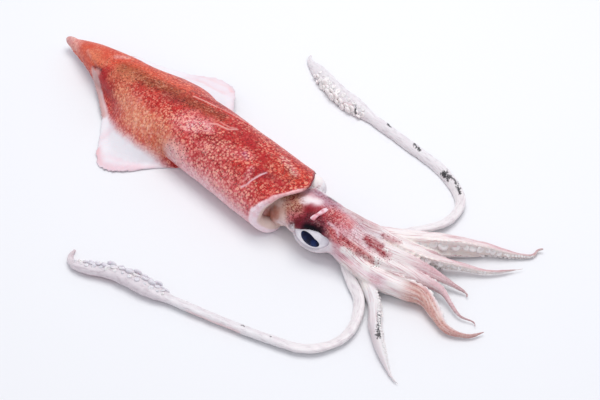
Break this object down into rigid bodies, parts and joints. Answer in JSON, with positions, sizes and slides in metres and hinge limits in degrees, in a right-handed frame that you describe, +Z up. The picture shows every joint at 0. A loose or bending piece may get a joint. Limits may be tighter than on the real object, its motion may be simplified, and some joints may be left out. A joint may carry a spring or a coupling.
{
  "type": "whole raw squid",
  "caption": "Whole raw long-finned squid lying belly down: tube-shaped mantle with side fins, head with eyes, tapered arms and long clubbed tentacles.",
  "frame": {"origin": "on the surface the squid lies on, under the middle of its bounding box", "axes": "+Z up through the back, +X from the tail towards the arms, +Y to the squid's left"},
  "size_m": [0.3204, 0.2062, 0.027],
  "materials": {
    "squid_skin": "wet, glossy skin speckled red over pale pink",
    "eye_white": "wet, silvery white",
    "eye_lens": "wet, dark blue"
  },
  "bodies": {
    "root": {"flesh": "squid_skin", "eyeball_right": "eye_white", "eyeball_left": "eye_white", "lens_right": "eye_lens", "lens_left": "eye_lens"}
  },
  "joints": []
}
